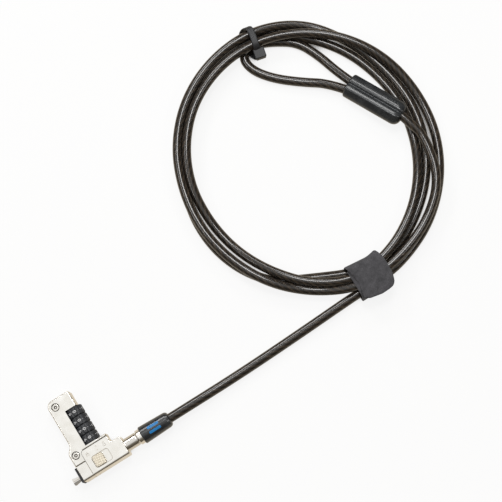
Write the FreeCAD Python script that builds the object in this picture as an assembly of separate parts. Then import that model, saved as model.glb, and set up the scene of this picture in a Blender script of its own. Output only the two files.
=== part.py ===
# Combination cable lock for wedge slots: lock head, four dials, swivel, coiled cable with eye end.
# Millimetres. Origin on the resting plane under the crossing of the dial axis (x = 0) and the
# swivel axis (y = 0). +X runs along the bar to the cable, +Y along the dial arm, +Z up.

import FreeCAD, Part
import math
import os

os.makedirs("parts", exist_ok=True)

V = FreeCAD.Vector

# Driving dimensions of the head
PLATE_T = 1.5
ARM_TOP = 11.1
BAR_TOP = 10.7
NOSE_TOP = 10.2
SEAM = 0.15
BAR_X0 = -15.5
BAR_X1 = 14.7
BAR_Y0 = -5.6
BAR_Y1 = 6.0
NOSE_X1 = -8.95
NOSE_Y1 = 4.02
COVER_Y1 = 10.07
SHOULDER_X = 8.6
WALL = 1.3
ROOF_T = 1.7
ARM_X0 = -12.2
ARM_X1 = 3.0
ARM_TAIL = 9.4
SCREW_INSET = 4.5
FOOT_Y = 10.6
FLARE_Y = 17.6
ARM_CORNER_R = 4.0
FRONT_EDGE_R = 1.6
SIDE_EDGE_R = 0.45
STEP_EDGE_R = 0.6

# Dials and the spindle inside them
DIAL_Z = 6.2
DIAL_R = 5.05
DIAL_W = 5.35
DIAL_GAP = 0.3
DIAL_END_GAP = 0.25
DIAL_COUNT = 4
DIGITS = 10
WINDOW_X0 = -4.45
WINDOW_Y0 = 11.6
BAY_CLEAR = 0.25
HUB_R = 2.9
SPINDLE_R = 1.4
RUN_CLEAR = 0.05
FIN_R = 2.1
FIN_CLEAR = 0.2
FIN_LEN = 1.2
FIN_REST = 1.6
GATE_T = 1.3

# Release slide
SLIDE_TRAVEL = 3.6
BUTTON_X0 = -5.1
BUTTON_X1 = 1.5
BUTTON_Y0 = -2.6
BUTTON_Y1 = 4.1
BUTTON_TOP = 11.5
BUTTON_CORNER_R = 1.2
RECESS_DEPTH = 0.7
FIT = 0.2
RAMP_SLOPE = 0.25
RAMP_Y = 4.7
RAMP_GAP = 0.1

# Wedge tip
JAW_Y = -2.15
JAW_Z0 = 4.05
JAW_Z1 = 6.95
JAW_TIP_X = -21.4
JAW_TIP_W = 2.05
JAW_ROOT_W = 1.4
JAW_PIVOT_X = -11.0
JAW_PIVOT_V = 1.6
JAW_PIN_R = 0.5
JAW_SWING = math.radians(1.3)
PIN_TIP_X = -14.4
PIN_TIP_HALF = 0.45
PIN_GAP = 0.1
PAD_T = 1.3

# Swivel and sleeve
AXIS_Z = 5.5
STUB_R = 3.85
STUB_X1 = 22.4
SWIVEL_GAP = 0.3
COLLAR_R = 4.4
COLLAR_LEN = 2.6
SLEEVE_LEN = 18.7
SLEEVE_R0 = 5.25
SLEEVE_R1 = 4.65
SWIVEL_PIN_R = 1.95
FERRULE_R = 3.6
FERRULE_LEN = 10.7

# Cable, coil and what sits on it
CABLE_R = 2.75
COIL_X = 190.6
COIL_Y = 85.9
COIL_OUT_A = 76.7
COIL_OUT_B = 84.5
COIL_IN_X = 188.0
COIL_IN_Y = 88.2
COIL_IN_A = 61.3
COIL_IN_B = 70.2
COIL_H = 11.2
COIL_EDGE_R = 2.4
CRIMP_W = 14.4
CRIMP_T = 8.4
CRIMP_START_X = 234.7
CRIMP_START_Y = 110.4
CRIMP_START_Z = 5.1
CRIMP_END_X = 249.7
CRIMP_END_Y = 77.7
CRIMP_END_Z = 9.8
CRIMP_EDGE_R = 1.0
CRIMP_A = V(CRIMP_START_X, CRIMP_START_Y, CRIMP_START_Z)
CRIMP_B = V(CRIMP_END_X, CRIMP_END_Y, CRIMP_END_Z)
LEAD_POINTS = [V(28.2, 0, 5.5), V(57.0, 0, 5.5), V(92.0, 0.4, 2.8), V(134.0, 1.8, 2.8), V(174.0, 4.4, 3.6)]
EYE_POINTS = [
    V(240.0, 108.6, 5.6), V(231.6, 127.5, 2.9), V(224.0, 146.0, 2.8), V(198.2, 163.4, 3.6),
    V(190.2, 155.4, 3.5), V(201.0, 137.4, 2.8), V(217.6, 122.6, 3.2), V(233.8, 105.8, 5.6),
]
STRAP_X0 = 173.6
STRAP_X1 = 193.8
STRAP_Y0 = -2.8
STRAP_Y1 = 18.9
STRAP_T = 1.3
STRAP_H = 13.3
STRAP_EDGE_R = 4.0
TIE_X = 200.0
TIE_W = 2.6
TIE_Y0 = 155.4
TIE_Y1 = 171.6
TIE_T = 1.1
TIE_H = 12.9
TIE_EDGE_R = 3.0
TIE_HEAD_W = 6.0
TIE_HEAD_L = 6.6
TIE_HEAD_Z0 = 4.0
TIE_HEAD_Z1 = 9.0


def box(x0, x1, y0, y1, z0, z1):
    return Part.makeBox(x1 - x0, y1 - y0, z1 - z0, V(x0, y0, z0))


def rod(start, end, radius):
    axis = end.sub(start)
    return Part.makeCylinder(radius, axis.Length, start, axis)


def prism(points, z0, z1):
    loop = [V(x, y, z0) for x, y in points]
    face = Part.Face(Part.makePolygon(loop + [loop[0]]))
    return face.extrude(V(0, 0, z1 - z0))


def upright_edges(shape, x, y):
    found = []
    for edge in shape.Edges:
        ends = [v.Point for v in edge.Vertexes]
        if len(ends) != 2:
            continue
        if all(abs(p.x - x) < 1e-4 and abs(p.y - y) < 1e-4 for p in ends):
            found.append(edge)
    return found


def round_corner(shape, x, y, radius):
    return shape.makeFillet(radius, upright_edges(shape, x, y))


def coil_spring(centre, axis, length, mean_r, wire_r, turns):
    rise = length - 2 * wire_r
    helix = Part.makeHelix(rise / turns, rise, mean_r)
    profile = Part.Wire([Part.Circle(V(mean_r, 0, 0), V(0, 1, 0), wire_r).toShape()])
    spring = Part.Wire(helix).makePipeShell([profile], True, True)
    spring.translate(V(0, 0, wire_r))
    spring.Placement = FreeCAD.Placement(centre, FreeCAD.Rotation(V(0, 0, 1), axis)).multiply(spring.Placement)
    return spring


def tube_path(points, radius):
    # Straight runs joined by tangent arcs, each arc 0.45 of the shorter run either side
    corners = []
    for before, here, after in zip(points[:-2], points[1:-1], points[2:]):
        into = here.sub(before)
        out = after.sub(here)
        reach = 0.45 * min(into.Length, out.Length)
        turn = into.getAngle(out)
        start = here.sub(V(into).normalize() * reach)
        end = here.add(V(out).normalize() * reach)
        bend = reach / math.tan(turn / 2)
        chord_mid = (start + end) * 0.5
        toward = here.sub(chord_mid)
        sag = bend * (1 - math.cos(turn / 2))
        middle = chord_mid.add(V(toward).normalize() * sag)
        corners.append((start, middle, end, bend))
    edges = []
    last = points[0]
    for start, middle, end, bend in corners:
        edges.append(Part.makeLine(last, start))
        edges.append(Part.Arc(start, middle, end).toShape())
        last = end
    edges.append(Part.makeLine(last, points[-1]))
    path = Part.Wire(edges)
    along = points[1].sub(points[0])
    profile = Part.Wire([Part.Circle(points[0], along, radius).toShape()])
    tube = path.makePipeShell([profile], True, False)
    print("tube length", round(path.Length, 1), "bend radii", [round(c[3], 1) for c in corners],
          "volume ratio", round(tube.Volume / (math.pi * radius ** 2 * path.Length), 4))
    return tube


DIAL_PITCH = DIAL_W + DIAL_GAP
WINDOW_Y1 = WINDOW_Y0 + 2 * DIAL_END_GAP + DIAL_COUNT * DIAL_W + (DIAL_COUNT - 1) * DIAL_GAP
ARM_Y1 = WINDOW_Y1 + ARM_TAIL
SLEEVE_X0 = STUB_X1 + SWIVEL_GAP + COLLAR_LEN
SLEEVE_X1 = SLEEVE_X0 + SLEEVE_LEN
FERRULE_X1 = SLEEVE_X0 + FERRULE_LEN
CAVITY_X0 = NOSE_X1 + SEAM + WALL - 0.1
CAVITY_X1 = BAR_X1 - WALL - 0.5
CAVITY_Y0 = BAR_Y0 + WALL
CAVITY_Y1 = BAR_Y1 - WALL
CAVITY_TOP = BAR_TOP - ROOF_T
SHOULDER_CAVITY_Y1 = COVER_Y1 - WALL - 0.07
CARRIAGE_X0 = BUTTON_X0 + FIT
CARRIAGE_X1 = CARRIAGE_X0 + 9.5
CARRIAGE_Z0 = PLATE_T + 0.25
CARRIAGE_Z1 = CAVITY_TOP - 0.25
NECK_X0 = BUTTON_X0 + 0.7
NECK_X1 = NECK_X0 + 1.8
NECK_Y0 = BUTTON_Y0 + 1.8
NECK_Y1 = BUTTON_Y1 - 1.8
PIN_Z0 = AXIS_Z - 0.9
PIN_Z1 = AXIS_Z + 0.9
PIN_TAPER = JAW_SWING * (JAW_PIVOT_X - PIN_TIP_X) / SLIDE_TRAVEL
PIN_TAPER_LEN = 5.0
PIN_HALF = PIN_TIP_HALF + PIN_TAPER * PIN_TAPER_LEN
RESET_X = (CAVITY_X0 + CARRIAGE_X0 - FIT) / 2
RESET_Z = 3.0
RESET_R = 0.65
RESET_TRAVEL = 1.0
RESET_BLOCK_TOP = PIN_Z0 - 0.3
SCREW_PLACES = [(-12.0, 9.7), (-8.0, ARM_Y1 - SCREW_INSET)]
SCREW_HEAD_R = 1.95
SCREW_HEAD_H = 1.6
SCREW_SHANK_R = 1.1
COUNTERBORE_R = 2.4
COUNTERBORE_Z = ARM_TOP - 2.0
BOSS_R = 2.0
BOSS_TOP = 4.5
PEG_R = 0.7
PEG_TOP = 4.0
COVER_PEGS = [(9.8, CAVITY_Y0 + 1.1), (9.8, CAVITY_Y1 - 1.1), (CAVITY_X0 + 1.2, SHOULDER_CAVITY_Y1 - 1.2)]
NOSE_PEG = (-11.0, 2.7)
POST_R = 1.3


def head_outline(height):
    # Whole plan shape of the head as one prism, corners and top edges rounded
    half_x = (BAR_X0 - ARM_X0) / 2
    half_y = (FLARE_Y - FOOT_Y) / 2
    arc_r = (half_x ** 2 + half_y ** 2) / (2 * abs(half_x))
    turn = math.asin(half_y / arc_r) / 2
    upper_mid = V(ARM_X0 - arc_r + arc_r * math.cos(turn), FLARE_Y - arc_r * math.sin(turn), 0)
    lower_mid = V(BAR_X0 + arc_r - arc_r * math.cos(turn), FOOT_Y + arc_r * math.sin(turn), 0)
    a = V(ARM_X0, FLARE_Y, 0)
    m = V(ARM_X0 + half_x, FLARE_Y - half_y, 0)
    b = V(BAR_X0, FOOT_Y, 0)
    straight = [
        b, V(BAR_X0, BAR_Y0, 0), V(BAR_X1, BAR_Y0, 0), V(BAR_X1, BAR_Y1, 0), V(SHOULDER_X, BAR_Y1, 0),
        V(SHOULDER_X, WINDOW_Y0, 0), V(ARM_X1, WINDOW_Y0, 0), V(ARM_X1, ARM_Y1, 0), V(ARM_X0, ARM_Y1, 0), a,
    ]
    edges = [Part.makeLine(p, q) for p, q in zip(straight[:-1], straight[1:])]
    edges.append(Part.Arc(a, upper_mid, m).toShape())
    edges.append(Part.Arc(m, lower_mid, b).toShape())
    block = Part.Face(Part.Wire(edges)).extrude(V(0, 0, height))
    for x, y, radius in [
        (BAR_X0, BAR_Y0, 0.7), (BAR_X1, BAR_Y0, 0.7), (BAR_X1, BAR_Y1, 0.7), (SHOULDER_X, BAR_Y1, 0.8),
        (ARM_X1, ARM_Y1, 0.9), (ARM_X0, ARM_Y1, ARM_CORNER_R),
    ]:
        block = round_corner(block, x, y, radius)
    return block


def top_edges(block, height):
    return [e for e in block.Edges if all(abs(v.Point.z - height) < 1e-4 for v in e.Vertexes)]


def head_block(height, radius):
    block = head_outline(height)
    return block.makeFillet(radius, top_edges(block, height))


def round_front(shape, x0, x1, y, top, radius):
    # Rounds a top edge that runs along X and faces -Y
    waste = box(x0, x1, y - 1, y + radius, top - radius, 20)
    roll = rod(V(x0, y + radius, top - radius), V(x1, y + radius, top - radius), radius)
    return shape.cut(waste.cut(roll))


def cover_region(grow):
    region = box(NOSE_X1 + SEAM - grow, 40, -30, COVER_Y1 + grow, -1, 20)
    return round_corner(region, NOSE_X1 + SEAM - grow, COVER_Y1 + grow, 1.5 + grow)


def dial_bay():
    bay = rod(V(0, WINDOW_Y0, DIAL_Z), V(0, WINDOW_Y1, DIAL_Z), DIAL_R + BAY_CLEAR)
    return bay


def build_arm_housing():
    arm = head_block(ARM_TOP, 0.8)
    arm = arm.cut(box(-40, 40, -30, 60, -1, PLATE_T))
    arm = arm.cut(cover_region(SEAM))
    arm = arm.cut(box(-40, NOSE_X1 + 1, -30, NOSE_Y1 + SEAM, -1, 20))
    arm = arm.cut(box(WINDOW_X0, 20, WINDOW_Y0, WINDOW_Y1, -1, 20))
    arm = arm.cut(dial_bay())
    arm = arm.cut(box(DETENT_X0, 0, WINDOW_Y0 + 0.5, WINDOW_Y1 - 0.5, DIAL_Z - 1.6, DIAL_Z + 1.6))
    arm = arm.cut(rod(V(0, COVER_Y1, DIAL_Z), V(0, SPINDLE_END, DIAL_Z), SPINDLE_R + RUN_CLEAR))
    arm = arm.cut(rod(V(0, SPINDLE_END - 0.5, DIAL_Z), V(0, SPRING_END, DIAL_Z), SPINDLE_R + 0.3))
    for x, y in SCREW_PLACES:
        arm = arm.cut(rod(V(x, y, COUNTERBORE_Z), V(x, y, 20), COUNTERBORE_R))
        arm = arm.cut(rod(V(x, y, 0), V(x, y, 20), SCREW_SHANK_R + 0.15))
        arm = arm.cut(rod(V(x, y, 0), V(x, y, BOSS_TOP), BOSS_R))
    arm = round_front(arm, NOSE_X1 + 1.65, SHOULDER_X + 1, COVER_Y1 + SEAM, ARM_TOP, STEP_EDGE_R)
    return round_front(arm, BAR_X0 - 1, NOSE_X1 - SEAM, NOSE_Y1 + SEAM, ARM_TOP, STEP_EDGE_R)


DETENT_X0 = -(DIAL_R + BAY_CLEAR) - 1.9
SPINDLE_END = WINDOW_Y1 + 3.0
SPINDLE_SHIFT = RAMP_SLOPE * SLIDE_TRAVEL
SPRING_LEN = 2.0
SPRING_END = SPINDLE_END + SPINDLE_SHIFT + FIT + SPRING_LEN


def build_bar_housing():
    cover = head_block(BAR_TOP, SIDE_EDGE_R)
    cover = round_front(cover, BAR_X0 - 1, BAR_X1 + 1, BAR_Y0, BAR_TOP, FRONT_EDGE_R)
    cover = cover.common(cover_region(0))
    cover = cover.cut(box(-40, 40, -30, 60, -1, PLATE_T))
    inner = box(CAVITY_X0, CAVITY_X1, CAVITY_Y0, CAVITY_Y1, 0, CAVITY_TOP)
    inner = inner.fuse(box(CAVITY_X0, SHOULDER_X - WALL, CAVITY_Y0, SHOULDER_CAVITY_Y1, 0, CAVITY_TOP))
    for x, y in COVER_PEGS:
        inner = inner.cut(rod(V(x, y, 0), V(x, y, 20), POST_R))
    guide = box(CAVITY_X0 - 1, CARRIAGE_X0 - FIT, CAVITY_Y0 - 1, 0.4, 0, RESET_BLOCK_TOP)
    inner = inner.cut(guide)
    cover = cover.cut(inner)
    for x, y in COVER_PEGS:
        cover = cover.cut(rod(V(x, y, 0), V(x, y, PEG_TOP), PEG_R))
    recess = box(BUTTON_X0 - FIT, BUTTON_X1 + SLIDE_TRAVEL + FIT, BUTTON_Y0 - FIT, BUTTON_Y1 + FIT,
                 BAR_TOP - RECESS_DEPTH, 20)
    for x in (BUTTON_X0 - FIT, BUTTON_X1 + SLIDE_TRAVEL + FIT):
        for y in (BUTTON_Y0 - FIT, BUTTON_Y1 + FIT):
            recess = round_corner(recess, x, y, BUTTON_CORNER_R + FIT)
    cover = cover.cut(recess)
    cover = cover.cut(box(NECK_X0 - FIT, NECK_X1 + SLIDE_TRAVEL + FIT, NECK_Y0 - FIT, NECK_Y1 + FIT, CAVITY_TOP - 1, 20))
    cover = cover.cut(rod(V(0, SHOULDER_CAVITY_Y1 - 1, DIAL_Z), V(0, COVER_Y1 + 1, DIAL_Z), SPINDLE_R + RUN_CLEAR + 0.05))
    cover = cover.cut(box(-20, CAVITY_X0 + 0.5, JAW_Y - PIN_HALF - FIT, JAW_Y + PIN_HALF + FIT, PIN_Z0 - 0.15, PIN_Z1 + 0.15))
    cover = cover.cut(rod(V(RESET_X, BAR_Y0 - 1, RESET_Z), V(RESET_X, 0, RESET_Z), RESET_R - 0.15))
    cover = cover.cut(rod(V(RESET_X, RESET_Y0 - 0.05, RESET_Z), V(RESET_X, RESET_Y1, RESET_Z), RESET_R + RUN_CLEAR))
    cover = cover.cut(rod(V(CAVITY_X1 - 1, 0, AXIS_Z), V(BAR_X1 + 1, 0, AXIS_Z), STUB_R))
    return cover


RESET_Y0 = BAR_Y0 + 0.75
RESET_LEN = 1.85
RESET_SPRING = 1.25
RESET_Y1 = RESET_Y0 + RESET_LEN + RESET_TRAVEL + 0.1 + RESET_SPRING


def build_nose_block():
    nose = head_block(NOSE_TOP, SIDE_EDGE_R)
    nose = round_front(nose, BAR_X0 - 1, BAR_X1 + 1, BAR_Y0, NOSE_TOP, FRONT_EDGE_R)
    nose = nose.common(box(BAR_X0 - 1, NOSE_X1, BAR_Y0 - 1, NOSE_Y1, PLATE_T, 20))
    wide = JAW_PIVOT_V + 1.25
    nose = nose.cut(box(BAR_X0 + 1.2, NOSE_X1 + 1, JAW_Y - wide, JAW_Y + wide, JAW_Z0 - 0.1, JAW_Z1 + 0.1))
    nose = nose.cut(jaw_slot(0.15, 0.1))
    for sign in (1, -1):
        y = JAW_Y + sign * JAW_PIVOT_V
        nose = nose.cut(rod(V(JAW_PIVOT_X, y, JAW_Z0 - 1.5), V(JAW_PIVOT_X, y, JAW_Z1 + 1.5), JAW_PIN_R))
    x, y = NOSE_PEG
    nose = nose.cut(rod(V(x, y, 0), V(x, y, PEG_TOP), PEG_R))
    return nose


def jaw_slot(side, height):
    half = JAW_ROOT_W + side
    return box(BAR_X0 - 5, BAR_X0 + 2, JAW_Y - half, JAW_Y + half, JAW_Z0 - height, JAW_Z1 + height)


def build_back_plate():
    plate = head_outline(PLATE_T)
    for x, y in SCREW_PLACES:
        boss = rod(V(x, y, 0), V(x, y, BOSS_TOP), BOSS_R)
        plate = plate.fuse(boss)
        plate = plate.cut(rod(V(x, y, SCREW_TIP_Z), V(x, y, 20), SCREW_SHANK_R))
    for x, y in COVER_PEGS + [NOSE_PEG]:
        plate = plate.fuse(rod(V(x, y, 0), V(x, y, PEG_TOP), PEG_R))
    plate = plate.cut(dial_bay())
    return plate.removeSplitter()


SCREW_TIP_Z = 1.2


def build_screws():
    screws = []
    for x, y in SCREW_PLACES:
        top = COUNTERBORE_Z + SCREW_HEAD_H
        head = rod(V(x, y, COUNTERBORE_Z), V(x, y, top), SCREW_HEAD_R)
        head = head.makeFillet(0.25, [e for e in head.Edges if e.BoundBox.ZMin > top - 0.01])
        screw = head.fuse(rod(V(x, y, SCREW_TIP_Z), V(x, y, COUNTERBORE_Z + 0.5), SCREW_SHANK_R))
        socket = rod(V(x, y, top - 0.9), V(x, y, top + 1), 1.0)
        screw = screw.cut(socket)
        screw = screw.fuse(rod(V(x, y, top - 1.1), V(x, y, top - 0.25), 0.4))
        screws.append(screw.removeSplitter())
    return Part.makeCompound(screws)


def build_nose_pad():
    y0 = BAR_Y0 + 0.2
    y1 = NOSE_Y1 - 0.3
    pad = box(BAR_X0 - PAD_T, BAR_X0, y0, y1, 0.5, NOSE_TOP - 0.4)
    outer = [e for e in pad.Edges if all(abs(v.Point.x - (BAR_X0 - PAD_T)) < 1e-4 for v in e.Vertexes)]
    pad = pad.makeFillet(0.5, outer)
    return pad.cut(jaw_slot(0.25, 0.2))


def build_detent_spring():
    # One comb of spring strip in the arm; each finger bears on one dial's grooves
    x0 = DETENT_X0
    strip = box(x0, x0 + 0.3, WINDOW_Y0 + 0.6, WINDOW_Y1 - 0.6, DIAL_Z - 1.5, DIAL_Z + 1.5)
    reach = -(DIAL_R + 0.12)
    for i in range(DIAL_COUNT):
        y = dial_y0(i) + DIAL_W / 2
        leg = [(x0, y - 1.6), (x0 + 0.3, y - 1.9), (reach, y - 0.45), (reach, y + 0.45), (reach - 0.35, y + 0.45)]
        strip = strip.fuse(prism(leg, DIAL_Z - 0.8, DIAL_Z + 0.8))
    return strip.removeSplitter()


def dial_y0(i):
    return WINDOW_Y0 + DIAL_END_GAP + i * DIAL_PITCH


def build_dial_wheel(i):
    y0 = dial_y0(i)
    y1 = y0 + DIAL_W
    wheel = rod(V(0, y0, DIAL_Z), V(0, y1, DIAL_Z), DIAL_R)
    wheel = wheel.makeChamfer(0.45, [e for e in wheel.Edges if abs(e.Length - 2 * math.pi * DIAL_R) < 1e-3])
    for k in range(DIGITS):
        angle = math.radians((k + 0.5) * 360 / DIGITS)
        x = (DIAL_R + 0.75) * math.sin(angle)
        z = DIAL_Z + (DIAL_R + 0.75) * math.cos(angle)
        wheel = wheel.cut(rod(V(x, y0 - 1, z), V(x, y1 + 1, z), 1.1))
    return wheel.cut(rod(V(0, y0 - 1, DIAL_Z), V(0, y1 + 1, DIAL_Z), HUB_R))


def build_dial_hub(i):
    y0 = dial_y0(i)
    y1 = y0 + DIAL_W
    hub = rod(V(0, y0, DIAL_Z), V(0, y1, DIAL_Z), HUB_R)
    hub = hub.cut(rod(V(0, y0 - 1, DIAL_Z), V(0, y1 - GATE_T, DIAL_Z), FIN_R + FIN_CLEAR))
    hub = hub.cut(rod(V(0, y0 - 1, DIAL_Z), V(0, y1 + 1, DIAL_Z), SPINDLE_R + RUN_CLEAR))
    return hub.cut(box(-0.6, 0.6, y0 - 1, y1 + 1, DIAL_Z, DIAL_Z + FIN_R + FIN_CLEAR - 0.05))


def build_dial_spindle():
    slant = math.sqrt(1 + RAMP_SLOPE ** 2)
    centre_y = RAMP_Y + (SPINDLE_R + RAMP_GAP) * slant
    spindle = rod(V(0, centre_y, DIAL_Z), V(0, SPINDLE_END, DIAL_Z), SPINDLE_R)
    spindle = spindle.fuse(Part.makeSphere(SPINDLE_R, V(0, centre_y, DIAL_Z)))
    for i in range(DIAL_COUNT):
        y = dial_y0(i) + FIN_REST
        spindle = spindle.fuse(box(-0.45, 0.45, y, y + FIN_LEN, DIAL_Z, DIAL_Z + FIN_R))
    return spindle.removeSplitter()


def build_spindle_spring():
    return coil_spring(V(0, SPRING_END - SPRING_LEN, DIAL_Z), V(0, 1, 0), SPRING_LEN - 0.02, 1.15, 0.2, 3.5)


def build_reset_plunger():
    return rod(V(RESET_X, RESET_Y0, RESET_Z), V(RESET_X, RESET_Y0 + RESET_LEN, RESET_Z), RESET_R)


def build_reset_spring():
    start = V(RESET_X, RESET_Y1 - RESET_SPRING, RESET_Z)
    return coil_spring(start, V(0, 1, 0), RESET_SPRING - 0.02, 0.48, 0.12, 3.5)


def build_button():
    button = box(BUTTON_X0, BUTTON_X1, BUTTON_Y0, BUTTON_Y1, BAR_TOP - RECESS_DEPTH + 0.1, BUTTON_TOP)
    for x in (BUTTON_X0, BUTTON_X1):
        for y in (BUTTON_Y0, BUTTON_Y1):
            button = round_corner(button, x, y, BUTTON_CORNER_R)
    button = button.makeFillet(0.3, top_edges(button, BUTTON_TOP))
    neck = box(NECK_X0, NECK_X1, NECK_Y0, NECK_Y1, CARRIAGE_Z1, BAR_TOP - RECESS_DEPTH + 0.3)
    return button.fuse(neck).removeSplitter()


def ramp_y(x):
    return RAMP_Y - RAMP_SLOPE * x


def build_carriage():
    low = CAVITY_Y0 + 0.4
    high = CAVITY_Y1 - 0.8
    plan = [
        (CARRIAGE_X0, low), (CARRIAGE_X1, low), (CARRIAGE_X1, high), (SPINDLE_R + 0.9, high),
        (SPINDLE_R + 0.2, ramp_y(SPINDLE_R + 0.2)), (CARRIAGE_X0, ramp_y(CARRIAGE_X0)),
    ]
    return prism(plan, CARRIAGE_Z0, CARRIAGE_Z1)


def build_locking_pin():
    taper_x = PIN_TIP_X + PIN_TAPER_LEN
    plan = [
        (PIN_TIP_X, JAW_Y - PIN_TIP_HALF), (taper_x, JAW_Y - PIN_HALF), (CARRIAGE_X0, JAW_Y - PIN_HALF),
        (CARRIAGE_X0, JAW_Y + PIN_HALF), (taper_x, JAW_Y + PIN_HALF), (PIN_TIP_X, JAW_Y + PIN_TIP_HALF),
    ]
    return prism(plan, PIN_Z0, PIN_Z1)


def build_jaw(sign):
    tail_x = NOSE_X1 - 0.35
    inner_tail = PIN_TIP_HALF + PIN_TAPER * (tail_x - PIN_TIP_X) + PIN_GAP
    plan = [
        (tail_x, inner_tail), (PIN_TIP_X - 0.1, PIN_TIP_HALF + PIN_GAP), (PIN_TIP_X - 0.4, 0.3),
        (JAW_TIP_X, 0.3), (JAW_TIP_X, JAW_TIP_W - 0.25), (JAW_TIP_X + 0.4, JAW_TIP_W),
        (BAR_X0 - PAD_T - 0.3, JAW_ROOT_W), (BAR_X0 + 1.6, JAW_ROOT_W), (JAW_PIVOT_X - 1.8, JAW_PIVOT_V + 0.95),
        (tail_x, JAW_PIVOT_V + 0.95),
    ]
    jaw = prism([(x, JAW_Y + sign * v) for x, v in plan], JAW_Z0, JAW_Z1)
    y = JAW_Y + sign * JAW_PIVOT_V
    return jaw.cut(rod(V(JAW_PIVOT_X, y, 0), V(JAW_PIVOT_X, y, 20), JAW_PIN_R + RUN_CLEAR))


def build_jaw_pins():
    pins = []
    for sign in (1, -1):
        y = JAW_Y + sign * JAW_PIVOT_V
        pins.append(rod(V(JAW_PIVOT_X, y, JAW_Z0 - 1.5), V(JAW_PIVOT_X, y, JAW_Z1 + 1.5), JAW_PIN_R))
    return Part.makeCompound(pins)


def turned(profile):
    # Solid of revolution about the swivel axis from (x, radius) pairs
    loop = [V(x, 0, AXIS_Z + r) for x, r in profile]
    face = Part.Face(Part.makePolygon(loop + [loop[0]]))
    return face.revolve(V(0, 0, AXIS_Z), V(1, 0, 0), 360)


def build_swivel_stub():
    stub = rod(V(CAVITY_X1, 0, AXIS_Z), V(STUB_X1, 0, AXIS_Z), STUB_R)
    stub = stub.makeFillet(0.6, [e for e in stub.Edges if e.BoundBox.XMin > STUB_X1 - 0.01])
    return stub.cut(rod(V(0, 0, AXIS_Z), V(40, 0, AXIS_Z), SWIVEL_PIN_R + RUN_CLEAR))


PIN_END = SLEEVE_X0 + 2.5


def build_swivel_pin():
    head = rod(V(CAVITY_X1 - 0.2 - 1.3, 0, AXIS_Z), V(CAVITY_X1 - 0.2, 0, AXIS_Z), 2.7)
    shaft = rod(V(CAVITY_X1 - 0.7, 0, AXIS_Z), V(PIN_END, 0, AXIS_Z), SWIVEL_PIN_R)
    return head.fuse(shaft).removeSplitter()


def build_swivel_collar():
    start = STUB_X1 + SWIVEL_GAP
    collar = rod(V(start, 0, AXIS_Z), V(SLEEVE_X0, 0, AXIS_Z), COLLAR_R)
    collar = collar.makeFillet(0.5, [e for e in collar.Edges if e.BoundBox.XMax < start + 0.01])
    return collar.cut(rod(V(0, 0, AXIS_Z), V(40, 0, AXIS_Z), SWIVEL_PIN_R))


def build_ferrule():
    ferrule = rod(V(SLEEVE_X0, 0, AXIS_Z), V(FERRULE_X1, 0, AXIS_Z), FERRULE_R)
    ferrule = ferrule.cut(rod(V(0, 0, AXIS_Z), V(PIN_END, 0, AXIS_Z), SWIVEL_PIN_R))
    return ferrule.cut(rod(LEAD_POINTS[0], V(60, 0, AXIS_Z), CABLE_R))


def build_sleeve():
    x1 = SLEEVE_X1
    sleeve = turned([
        (SLEEVE_X0, 0), (SLEEVE_X0, SLEEVE_R0 - 0.4), (SLEEVE_X0 + 0.4, SLEEVE_R0), (x1 - 2.0, SLEEVE_R1),
        (x1 - 0.9, SLEEVE_R1 - 0.35), (x1 - 0.25, SLEEVE_R1 - 0.95), (x1, SLEEVE_R1 - 1.5), (x1, 0),
    ])
    sleeve = sleeve.cut(rod(V(SLEEVE_X0 - 1, 0, AXIS_Z), V(FERRULE_X1, 0, AXIS_Z), FERRULE_R))
    return sleeve.cut(rod(V(FERRULE_X1 - 1, 0, AXIS_Z), V(60, 0, AXIS_Z), CABLE_R))


def oval_along(start, end, width, thickness):
    axis = end.sub(start)
    across = axis.cross(V(0, 0, 1)).normalize()
    up = across.cross(axis).normalize()
    half = (width - thickness) / 2
    r = thickness / 2
    p = start.add(across * half)
    q = start.sub(across * half)
    edges = [
        Part.makeLine(q.add(up * r), p.add(up * r)),
        Part.Arc(p.add(up * r), p.add(across * r), p.sub(up * r)).toShape(),
        Part.makeLine(p.sub(up * r), q.sub(up * r)),
        Part.Arc(q.sub(up * r), q.sub(across * r), q.add(up * r)).toShape(),
    ]
    return Part.Face(Part.Wire(edges)).extrude(axis)


def build_crimp():
    body = oval_along(CRIMP_A, CRIMP_B, CRIMP_W, CRIMP_T)
    ends = [e for f in body.Faces if f.Surface.TypeId == "Part::GeomPlane" and len(f.Edges) == 4
            and abs(f.normalAt(0, 0).dot(CRIMP_B.sub(CRIMP_A).normalize())) > 0.99 for e in f.Edges]
    body = body.makeFillet(CRIMP_EDGE_R, ends)
    axis = CRIMP_B.sub(CRIMP_A).normalize()
    core = oval_along(CRIMP_A.add(axis * 3), CRIMP_B.sub(axis * 3), CRIMP_W - 2.4, CRIMP_T - 2.0)
    return body, core


def band(x0, x1, y0, y1, height, thick, corner):
    outer = box(x0, x1, y0, y1, 0, height)
    long_edges = [e for e in outer.Edges if abs(e.Vertexes[0].Point.x - e.Vertexes[1].Point.x) > 0.1]
    outer = outer.makeFillet(corner, long_edges)
    inner = box(x0 - 1, x1 + 1, y0 + thick, y1 - thick, thick, height - thick)
    long_edges = [e for e in inner.Edges if abs(e.Vertexes[0].Point.x - e.Vertexes[1].Point.x) > 0.1]
    inner = inner.makeFillet(max(corner - thick, 0.3), long_edges)
    return outer.cut(inner)


def build_tie():
    loop = band(TIE_X - TIE_W / 2, TIE_X + TIE_W / 2, TIE_Y0, TIE_Y1, TIE_H, TIE_T, TIE_EDGE_R)
    y1 = TIE_Y0 + 0.6
    head = box(TIE_X - TIE_HEAD_W / 2, TIE_X + TIE_HEAD_W / 2, y1 - TIE_HEAD_L, y1, TIE_HEAD_Z0, TIE_HEAD_Z1)
    return loop.fuse(head).removeSplitter()


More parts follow.
